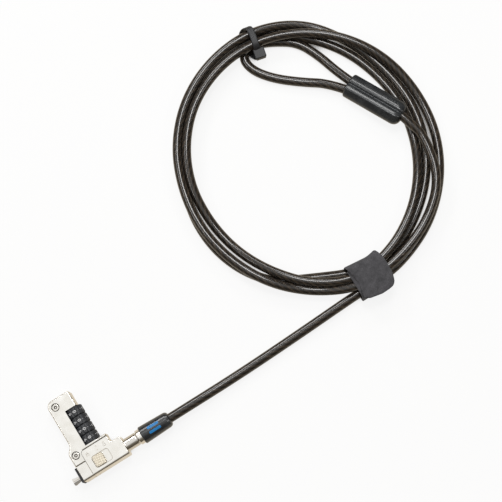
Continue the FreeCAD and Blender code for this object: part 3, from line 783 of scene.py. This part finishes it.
@dataclass
class StrapWrap:
    """Hook-and-loop strap wound nearly one and a half times round the bundle, rounded end on top.

    By the length left to the tip, end_left, the strip reaches end_minus and end_plus to either side
    of its path, and by the same length twist gives the share of the skew, an angle in degrees.
    """

    middle_x: float = 183.4
    width: float = 20.2
    thickness: float = 1.15
    resolution: int = 14
    skew: float = -7.0
    twist: tuple[Pair, ...] = ((0.0, 0.0), (12.0, 0.4), (30.0, 1.0), (50.0, 0.0))
    end_left: tuple[float, ...] = (
        0.0, 0.7, 1.4, 2.1, 3.2, 5.0, 9.0, 17.0, 20.0, 22.0, 24.0, 27.0, 30.0, 34.0)
    end_minus: tuple[float, ...] = (
        6.8, 9.0, 9.8, 10.1, 10.1, 10.1, 10.1, 10.1, 10.1, 10.1, 10.0, 10.0, 10.1, 10.1)
    end_plus: tuple[float, ...] = (
        0.6, 4.0, 6.3, 7.7, 8.8, 9.5, 9.9, 10.1, 9.8, 9.2, 8.4, 8.4, 9.2, 10.1)
    section: tuple[Triple, ...] = (
        (0.0, 16.0, 11.9), (0.0, 10.0, 12.1), (0.0, 2.0, 12.0), (-0.4, -0.9, 11.3),
        (-0.8, -1.7, 6.0), (-0.6, -1.0, 1.0), (0.0, 3.0, 0.65), (0.0, 13.0, 0.65),
        (0.0, 17.6, 1.2), (-0.4, 18.3, 6.5), (0.2, 17.6, 12.4), (2.2, 12.0, 13.2),
        (2.0, 4.0, 13.3), (0.6, -1.0, 13.3), (-0.2, -5.0, 12.5))

    def build(self) -> Piece:
        """Returns:
            The strap.
        """
        path = nurbs_line(np.array(self.section) + (self.middle_x, 0.0, 0.0), self.resolution)
        length = lengths_along(path)
        left = length[-1] - length
        minus, plus = (np.interp(left, self.end_left, side)
                       for side in (self.end_minus, self.end_plus))
        stops, shares = np.array(self.twist).T
        turn = np.radians(np.interp(left, stops, shares * self.skew))
        across = np.column_stack([np.cos(turn), np.sin(turn), np.zeros(len(path))])
        ribbon = Ribbon(path, across, (plus + minus) / 2, self.thickness, (plus - minus) / 2)
        strap = outward(add_piece("loop_strap", *ribbon.surface(), Surface.FABRIC, "cable_side"))
        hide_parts("hook_loop_strap")
        log.info("strap is %.1f mm long", length[-1])
        return strap


@dataclass
class CableTie:
    """Nylon tie: a loose slanting loop round the turns and the eye, and its square head."""

    width: float = 4.0
    thickness: float = 1.1
    resolution: int = 10
    across: Triple = (1.0, -0.2, 0.0)
    loop: tuple[Triple, ...] = (
        (200.2, 155.6, 9.6), (200.6, 157.4, 12.4), (201.6, 161.5, 12.9), (202.6, 166.2, 12.8),
        (202.8, 169.4, 12.2), (200.8, 171.5, 8.6), (198.0, 171.0, 3.6), (196.6, 168.0, 0.8),
        (196.4, 162.0, 0.7), (197.4, 156.6, 0.7), (199.0, 153.0, 2.0), (199.6, 152.4, 5.0))
    head_centre: Triple = (200.2, 153.5, 8.0)
    head_size: Triple = (6.8, 6.2, 5.6)
    head_turn: float = -13.0
    head_foot: float = 0.86
    head_bevel: float = 0.6

    def build(self) -> Piece:
        """Builds the tie's loop.

        Returns:
            The loop.
        """
        path = nurbs_line(np.array(self.loop), self.resolution)
        across = np.tile(self.across, (len(path), 1))
        ribbon = Ribbon(path, across, np.full(len(path), self.width / 2), self.thickness)
        tie = outward(add_piece("nylon_tie", *ribbon.surface(), Surface.NYLON, "cable_side"))
        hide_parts("cable_tie")
        return tie

    def build_head(self) -> Piece:
        """Builds the tie's head: a bevelled block, narrower at its foot.

        Its corners stand half the size from its middle, the lower four drawn in, and are turned
        about the vertical.

        Returns:
            The head.
        """
        corners = np.array([(x, y, z) for z in (-1, 1) for y in (-1, 1) for x in (-1, 1)], float)
        corners[:4, :2] *= self.head_foot
        turn = math.radians(self.head_turn)
        rotation = np.array([(math.cos(turn), math.sin(turn)), (-math.sin(turn), math.cos(turn))])
        points = corners * (np.array(self.head_size) / 2)
        points[:, :2] = points[:, :2] @ rotation
        points += self.head_centre
        faces = [(0, 2, 3, 1), (4, 5, 7, 6), (0, 1, 5, 4), (2, 6, 7, 3), (0, 4, 6, 2), (1, 3, 7, 5)]
        head = add_piece("nylon_tie_head", points, faces, Surface.NYLON, "cable_side", smooth=False)
        bevel = head.modifiers.new("edges", "BEVEL")
        bevel.width = self.head_bevel * MM
        bevel.segments = 3
        return head


@dataclass
class CrimpCover:
    """Moulded cover of the crimp: two long swellings over the strands, and a flat lower flank.

    The outline's first column is a share of the half width, and its second a height. end_draw is
    how far the far end's rounding draws the outline in, as a share of its length, and face_inset
    how much smaller the flat face on each end is.
    """

    start: Triple = (234.2, 110.2, 5.1)
    end: Triple = (249.8, 76.5, 9.8)
    half_width: float = 7.5
    half_height: float = 4.4
    round_start: float = 1.2
    round_end: float = 4.6
    end_draw: float = 0.8
    face_inset: Pair = (1.4, 1.2)
    height_draw: float = 0.5
    resolution: int = 4
    outline: tuple[Pair, ...] = (
        (0.0, -4.2), (-0.6, -3.8), (-0.95, -2.4), (-1.0, 0.2), (-0.97, 1.5), (-0.84, 2.6),
        (-0.7, 3.3), (-0.55, 3.8), (-0.4, 4.25), (-0.27, 4.45), (-0.17, 4.35), (-0.09, 3.85),
        (-0.04, 3.4), (0.03, 3.8), (0.15, 4.35), (0.3, 4.72), (0.42, 4.92), (0.5, 4.85),
        (0.56, 4.4), (0.7, 3.3), (0.86, 1.9), (1.0, 0.4), (0.97, -2.2), (0.6, -3.8), (0.0, -4.2))

    def build(self) -> Piece:
        """Lofts the cover: one outline along the axis, drawn in over each end's rounding.

        The outline is a quadratic spline through its control points; over an end's rounding r it is
        drawn in by r (1 - sin b) while the place moves by r (1 - cos b), half as much in height.

        Returns:
            The cover.
        """
        start, end = np.array(self.start), np.array(self.end)
        length = float(np.linalg.norm(end - start))
        axis = (end - start) / length
        across = unit(np.cross(axis, UP))
        up = np.cross(across, axis)
        flat = np.array(self.outline) * (self.half_width, 1.0)
        ring = nurbs_line(np.column_stack([flat, np.zeros(len(flat))]), self.resolution)[:-1, :2]
        bend = np.linspace(0, np.pi / 2, 8)
        along = np.concatenate([[0.0], self.round_start * (1 - np.cos(bend)),
                                length - self.round_end * (1 - np.cos(bend[::-1])), [length]])
        inset = np.concatenate([[self.round_start + self.face_inset[0]],
                                self.round_start * (1 - np.sin(bend)),
                                self.round_end * (1 - np.sin(bend[::-1])) * self.end_draw,
                                [self.round_end * self.end_draw + self.face_inset[1]]])
        keep_x = 1 - inset / self.half_width
        keep_y = 1 - self.height_draw * inset / self.half_height
        rings = (start[None, None] + along[:, None, None] * axis[None, None]
                 + (keep_x[:, None] * ring[None, :, 0])[..., None] * across[None, None]
                 + (keep_y[:, None] * ring[None, :, 1])[..., None] * up[None, None])
        faces = shell_faces(len(along), len(ring))
        cover = outward(add_piece("crimp_cover", rings.reshape(-1, 3), faces, Surface.GLOSS,
                                  "cable_side"))
        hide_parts("crimp_sleeve")
        return cover


@dataclass
class SleeveBars:
    """Two plain blue bars let into the sleeve at the swivel."""

    x_from: float = 30.0
    x_to: float = 37.6
    width: float = 1.6
    lift: float = 0.03
    narrowest: float = 0.01
    angles: tuple[float, ...] = (74.0, 108.0)
    radius_start: float = 5.25
    radius_end: float = 4.65
    sleeve: Pair = (25.7, 42.0)
    axis_height: float = 5.5
    rows: int = 9
    columns: int = 25

    def build(self) -> Piece:
        """Lays both bars on the sleeve as patches of its taper with rounded ends.

        A point is at the sleeve's radius there and at the bar's angle, plus t times the half width
        over the radius; within half a width of an end the half width follows a circle.

        Returns:
            The bars as one piece.
        """
        half_length, half_width = (self.x_to - self.x_from) / 2, self.width / 2
        s = np.linspace(-1, 1, self.columns) * half_length
        t = np.linspace(-1, 1, self.rows)
        past = np.clip(np.abs(s) - (half_length - half_width), 0, half_width)
        narrow = np.sqrt(np.clip(half_width ** 2 - past ** 2, self.narrowest ** 2, None))
        x = (self.x_from + self.x_to) / 2 + s
        part = (x - self.sleeve[0]) / (self.sleeve[1] - self.sleeve[0])
        radius = self.radius_start + (self.radius_end - self.radius_start) * part + self.lift
        points, faces = [], []
        for middle in self.angles:
            turn = np.radians(middle) + t[:, None] * narrow[None] / radius[None]
            grid = np.stack([np.broadcast_to(x, turn.shape), radius * np.cos(turn),
                             self.axis_height + radius * np.sin(turn)], -1).reshape(-1, 3)
            faces.extend(grid_faces(self.rows, self.columns, False) + len(points) * len(grid))
            points.append(grid)
        return add_piece("sleeve_bars", np.vstack(points), faces, Surface.BLUE, "cable_side")


@dataclass
class DialNumbers:
    """Printed numbers of one dial, 0 to 9, bent round its rim."""

    body: str
    number: int
    first_y: float = 14.525
    pitch: float = 5.65
    radius: float = 5.05
    lift: float = 0.02
    axis_height: float = 6.2
    size: float = 3.0
    apart: float = 36.0

    def build(self) -> Piece:
        """Lays ten glyphs round the dial; a glyph's height over the radius is its angle.

        Returns:
            The numbers as one piece.
        """
        middle_y = self.first_y + self.pitch * (self.number - 1)
        radius = self.radius + self.lift
        points, faces, count = [], [], 0
        for digit in range(10):
            glyph, glyph_faces = glyph_mesh(str(digit), self.size)
            turn = np.radians(self.apart * digit) - glyph[:, 1] / self.radius
            points.append(np.stack([radius * np.sin(turn), middle_y + glyph[:, 0],
                                    self.axis_height + radius * np.cos(turn)], -1))
            faces.extend([[corner + count for corner in face] for face in glyph_faces])
            count += len(glyph)
        return add_piece(f"numbers_{self.number}", np.vstack(points), faces, Surface.DIGITS,
                         self.body, smooth=False)


@dataclass
class CoverMarks:
    """Thin marks on the bar's cover: two engraved padlocks, a dot, an arrow, and painted shade
    lines along the recess's edge and the nose's seam.
    """

    height: float = 10.72
    line: float = 0.24
    closed_at: Pair = (-6.1, 6.9)
    open_at: Pair = (4.9, 6.9)
    open_lift: float = 0.5
    padlock_body: tuple[Pair, ...] = (
        (-0.75, -0.9), (0.75, -0.9), (0.75, 0.15), (-0.75, 0.15), (-0.75, -0.9))
    shackle_radius: float = 0.5
    shackle_foot: float = 0.15
    shackle_height: float = 0.45
    dot_at: Pair = (0.0, 6.1)
    dot_radius: float = 0.16
    arrow_at: Pair = (0.2, 8.4)
    arrow: tuple[Pair, ...] = ((-0.48, -0.32), (0.0, 0.32), (0.48, -0.32))
    recess: tuple[float, float, float, float] = (-5.4, 5.4, -2.9, 4.4)
    recess_corner: float = 1.5
    # Painted shade: a line at the foot of the step between the nose and the bar
    nose_step_shade: tuple[Triple, ...] = ((-9.08, -3.9, 10.22), (-9.08, 4.1, 10.22))

    def arc(self, radius: float, start: float, end: float, count: int) -> np.ndarray:
        """Gives points on a circle about zero, radius times the angle's cosine and sine.

        Args:
            radius: The circle's radius.
            start: First angle in radians.
            end: Last angle in radians.
            count: Number of points.

        Returns:
            Points in the plane, one row each.
        """
        angle = np.linspace(start, end, count)
        return radius * np.stack([np.cos(angle), np.sin(angle)], -1)

    def padlock(self, at: Pair, lift: float) -> list[np.ndarray]:
        """Draws a padlock's body and shackle as lines.

        Args:
            at: Middle of the mark.
            lift: How far the shackle is drawn out.

        Returns:
            Lines of points in the plane.
        """
        bow = self.arc(self.shackle_radius, 0, np.pi, 9) + (0.0, self.shackle_height + lift)
        near = (self.shackle_radius, self.shackle_foot)
        far = (-self.shackle_radius, self.shackle_foot + lift)
        return [np.array(self.padlock_body) + at, np.vstack([near, bow, far]) + at]

    def recess_shade_line(self) -> np.ndarray:
        """Draws the rectangle round the button's recess, painted shade, corners as quarter circles.

        Returns:
            One closed line of points in the plane.
        """
        x0, x1, y0, y1 = self.recess
        corner, quarter = self.recess_corner, np.pi / 2
        bends = [(x1 - corner, y1 - corner), (x0 + corner, y1 - corner), (x0 + corner, y0 + corner),
                 (x1 - corner, y0 + corner)]
        arcs = [self.arc(corner, k * quarter, (k + 1) * quarter, 7) + at
                for k, at in enumerate(bends)]
        return np.vstack(arcs + [arcs[0][:1]])

    def build(self) -> Piece:
        """Lays every mark on the cover as narrow strips, half a line to either side.

        Returns:
            The marks as one piece.
        """
        lines = [*self.padlock(self.closed_at, 0.0), *self.padlock(self.open_at, self.open_lift),
                 np.array(self.arrow) + self.arrow_at, self.recess_shade_line(),
                 self.arc(self.dot_radius, 0, 2 * np.pi, 13) + self.dot_at]
        marks = [np.column_stack([row, np.full(len(row), self.height)]) for row in lines]
        points, faces, count = [], [], 0
        for row in [*marks, np.array(self.nose_step_shade)]:
            run = unit(np.gradient(row, axis=0))
            beside = np.stack([-run[:, 1], run[:, 0], 0 * run[:, 0]], -1) * self.line / 2
            strip = np.stack([row - beside, row + beside], 1).reshape(-1, 3)
            points.append(strip)
            faces.extend(grid_faces(len(row), 2, False)[:, ::-1] + count)
            count += len(strip)
        return add_piece("cover_marks", np.vstack(points), faces, Surface.MARKS_AND_SHADE_LINES, "head",
                         smooth=False)


@dataclass
class DarkRecesses:
    """Painted shade: dark rings on the floors around and inside the two screw heads, and the reset
    hole's wall.

    A ring is its inner and outer radius and its height; the hole is x, z, radius and depth.
    """

    places: tuple[Pair, ...] = ((-12.0, 9.7), (-8.0, 39.3))
    rings: tuple[Triple, ...] = ((1.97, 2.38, 9.13), (0.42, 0.98, 9.83))
    hole: tuple[float, float, float, float] = (-6.35, 3.0, 0.48, 0.7)
    wall_y: float = -5.6
    lip: float = 0.01
    sides: int = 32

    def build(self) -> Piece:
        """Lays flat rings, (cos a, sin a) times the radius, and lines the hole with a short tube.

        Returns:
            The rings and the tube as one piece.
        """
        angle = 2 * np.pi * np.arange(self.sides) / self.sides
        circle = np.stack([np.cos(angle), np.sin(angle)], -1)
        band = grid_faces(2, self.sides, True)
        points, faces = [], []
        for place in self.places:
            for inner, outer, height in self.rings:
                flat = np.vstack([circle * inner, circle * outer]) + place
                faces.extend(band[:, ::-1] + len(flat) * len(points))
                points.append(np.column_stack([flat, np.full(len(flat), height)]))
        x, z, radius, depth = self.hole
        rim = np.column_stack([circle[:, 0] * radius + x,
                               np.full(self.sides, self.wall_y + self.lip),
                               circle[:, 1] * radius + z])
        faces.extend(band + 2 * self.sides * len(points))
        points.append(np.vstack([rim, rim + (0.0, depth, 0.0)]))
        return add_piece("dark_recesses", np.vstack(points), faces, Surface.SHADE, "head",
                         smooth=False)


@dataclass
class SolidFinishes:
    """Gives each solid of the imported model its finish."""

    finishes: dict[Surface, tuple[str, ...]] = field(default_factory=lambda: {
        Surface.NICKEL: ("arm_housing", "bar_housing", "nose_block", "back_plate", "slide_carriage",
                         "swivel_collar"),
        Surface.RUBBER: ("nose_pad",),
        Surface.STEEL: ("upper_jaw",),
        # The lower jaw wears the jaw steel painted darker, as painted shade
        Surface.JAW_IN_PAINTED_SHADE: ("lower_jaw",),
        Surface.SCREW: ("housing_screws",),
        Surface.BUTTON: ("release_button",),
        Surface.CHROME: ("swivel_stub",),
        Surface.DIAL: tuple(f"dial_wheel_{n}" for n in (1, 2, 3, 4)),
        Surface.BRASS: tuple(f"dial_hub_{n}" for n in (1, 2, 3, 4)),
        Surface.SPRING: ("detent_spring", "dial_spindle", "spindle_spring", "locking_pin",
                         "jaw_pins", "reset_plunger", "reset_spring", "swivel_pin",
                         "cable_ferrule", "crimp_core"),
        Surface.GLOSS: ("cable_sleeve",),
    })

    def dress(self) -> None:
        """Puts the finishes into the solids' material slots."""
        for surface, names in self.finishes.items():
            for name in names:
                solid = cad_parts[name]
                if not solid.material_slots:
                    solid.data.materials.append(surface.material)
                for material_slot in solid.material_slots:
                    material_slot.material = surface.material
                log.info("solid %s: %s", name, surface.name)


@dataclass
class Studio:
    """Plain white floor, soft lamps from above, a darker horizon, and the camera.

    A lamp is its heading and its tilt from the vertical in degrees, its size, and its power in
    watts. A stop is a place on a ramp and its colour.
    """

    camera_at: Triple = (95.445, -114.534, 954.453)
    target: Triple = (134.098, 58.085, 0.0)
    roll: float = 58.116
    lens: float = 120.0
    sensor: float = 36.0
    clip: Pair = (10.0, 20000.0)
    lamps: tuple[tuple[float, float, Pair, float], ...] = (
        (57.0, 18.0, (320.0, 320.0), 4.2),
        (92.0, 52.0, (330.0, 320.0), 3.0),
        (50.0, 50.0, (400.0, 260.0), 2.2),
        (150.0, 45.0, (700.0, 150.0), 1.9),
        (-40.0, 40.0, (500.0, 200.0), 1.3),
    )
    lamp_distance: float = 1280.0
    lit_point: Triple = (130.0, 60.0, 0.0)
    bright_side: Triple = (-0.14, 0.2, 0.0)
    horizon: tuple[tuple[float, str], ...] = (
        (0.0, "#564e42"), (0.5, "#635b4e"), (0.78, "#8f8a82"), (0.93, "#efefed"))
    floor_reach: float = 3000.0
    floor_height: float = -0.2
    paper: str = "#f4f4f4"
    own_white: float = 0.86
    # Painted shade: over shadow_reach the floor's glow follows its openness, dark in narrow gaps
    shadow_reach: float = 5.0
    shadow: tuple[tuple[float, str], ...] = ((0.12, "#1c1a18"), (0.42, "#ffffff"))
    # Painted reflection: the warm colour and strength that glossy surfaces see in the floor
    mirrored: tuple[str, float] = ("#ece0cc", 0.86)

    def stand(self, item: Piece, at: Vector, right: Vector, up: Vector, back: Vector) -> Piece:
        """Stands an object at a point, with its axes along three directions, in the scene."""
        item.matrix_world = Matrix.Translation(at) @ Matrix((right, up, back)).transposed().to_4x4()
        return link(item)

    def place_camera(self) -> None:
        """Stands the camera where the photograph was taken from, turned by roll in the picture."""
        at, target = Vector(self.camera_at) * MM, Vector(self.target) * MM
        back = (at - target).normalized()
        turn = math.radians(self.roll)
        heading = Vector((math.cos(turn), math.sin(turn), 0.0))
        up = (heading - heading.dot(back) * back).normalized()
        data = bpy.data.cameras.new("camera")
        data.lens = self.lens
        data.sensor_width = self.sensor
        data.clip_start, data.clip_end = (distance * MM for distance in self.clip)
        camera = bpy.data.objects.new("camera", data)
        bpy.context.scene.camera = self.stand(camera, at, up.cross(back), up, back)

    def place_lamps(self) -> None:
        """Hangs the soft boxes over the lock and points them at it."""
        middle = Vector(self.lit_point) * MM
        for number, (heading, tilt, size, power) in enumerate(self.lamps):
            data = bpy.data.lights.new(f"soft_box_{number}", "AREA")
            data.shape = "RECTANGLE"
            data.size, data.size_y = size[0] * MM, size[1] * MM
            data.energy = power
            turn, lean = math.radians(heading), math.radians(tilt)
            away = Vector((math.sin(lean) * math.cos(turn), math.sin(lean) * math.sin(turn),
                           math.cos(lean)))
            side = Vector((-math.sin(turn), math.cos(turn), 0.0))
            self.stand(bpy.data.objects.new(f"soft_box_{number}", data),
                       middle + away * self.lamp_distance * MM, side, away.cross(side), away)

    def light_world(self) -> None:
        """White behind the lock, soft light from above, and a darker band near the horizon."""
        world = bpy.data.worlds.new("studio")
        bpy.context.scene.world = world
        tree = empty_tree(world)
        direction = add_node(tree, "ShaderNodeTexCoord").outputs["Generated"]
        axes = add_node(tree, "ShaderNodeSeparateXYZ", {0: direction})
        slant = add_node(tree, "ShaderNodeVectorMath", {0: direction, 1: self.bright_side},
                         operation="DOT_PRODUCT").outputs["Value"]
        height = add_node(tree, "ShaderNodeMath", {0: axes.outputs[2], 1: slant}, operation="ADD")
        surround = add_node(tree, "ShaderNodeValToRGB", {0: height}, stops=self.horizon)
        plain = add_node(tree, "ShaderNodeBackground", {"Color": linear("#ffffff"),
                                                        "Strength": 1.0})
        soft = add_node(tree, "ShaderNodeBackground", {"Color": surround, "Strength": 1.0})
        shown = by_ray(tree, ("Is Camera Ray", "Is Transmission Ray"), soft, plain)
        add_node(tree, "ShaderNodeOutputWorld", {"Surface": shown})

    def lay_floor(self) -> None:
        """Lays a white floor that glows white to the eye, with painted shade where its glow darkens
        in narrow gaps, and a painted warm reflection for glossy rays.
        """
        material = bpy.data.materials.new("white_paper_floor")
        tree = empty_tree(material)
        # Painted shade: the glow darkens where the floor is closed in, as in narrow gaps
        gap = add_node(tree, "ShaderNodeAmbientOcclusion", {"Distance": self.shadow_reach * MM},
                       samples=8).outputs["AO"]
        lit = add_node(tree, "ShaderNodeValToRGB", {0: gap}, stops=self.shadow)
        paper = add_node(tree, "ShaderNodeBsdfDiffuse", {"Color": linear(self.paper)})
        glow = add_node(tree, "ShaderNodeEmission", {"Color": lit, "Strength": 1.0})
        # Painted reflection: glossy rays see the floor as a warm cream glow
        colour, strength = self.mirrored
        warm = add_node(tree, "ShaderNodeEmission", {"Color": linear(colour), "Strength": strength})
        looking = add_node(tree, "ShaderNodeLightPath").outputs["Is Camera Ray"]
        part = add_node(tree, "ShaderNodeMath", {0: looking, 1: self.own_white},
                        operation="MULTIPLY")
        eye = add_node(tree, "ShaderNodeMixShader", {0: part, 1: paper, 2: glow})
        shown = by_ray(tree, ("Is Glossy Ray", "Is Transmission Ray"), eye, warm)
        add_node(tree, "ShaderNodeOutputMaterial", {"Surface": shown})
        mesh = bpy.data.meshes.new("floor")
        reach, height = self.floor_reach * MM, self.floor_height * MM
        mesh.from_pydata([(-reach, -reach, height), (reach, -reach, height),
                          (reach, reach, height), (-reach, reach, height)], [], [(0, 1, 2, 3)])
        mesh.materials.append(material)
        floor = link(bpy.data.objects.new("floor", mesh))

    def build(self) -> None:
        """Sets the whole stage."""
        bpy.context.scene.view_settings.view_transform = "Standard"
        self.place_camera()
        self.place_lamps()
        self.light_world()
        self.lay_floor()


def main() -> None:
    """Builds every sub-assembly in order and reports each piece."""
    logging.basicConfig(level=logging.INFO, format="%(name)s: %(message)s")
    Studio().build()
    SolidFinishes().dress()
    strap = StrapWrap().build()
    tie = CableTie()
    loop, head = tie.build(), tie.build_head()
    cover = CrimpCover().build()
    cable = SecurityCable().build([cover, "crimp_core", loop, head])
    pieces = [strap, loop, head, cover, cable, SleeveBars().build()]
    for number, body in enumerate(("dial_one", "dial_two", "dial_three", "dial_four"), 1):
        pieces.append(DialNumbers(body, number).build())
    pieces += [CoverMarks().build(), DarkRecesses().build()]
    for piece in pieces:
        log.info("piece %s: %d faces of %s", piece.name, len(piece.data.polygons),
                 piece.active_material.name)


if __name__ == "__main__":
    main()
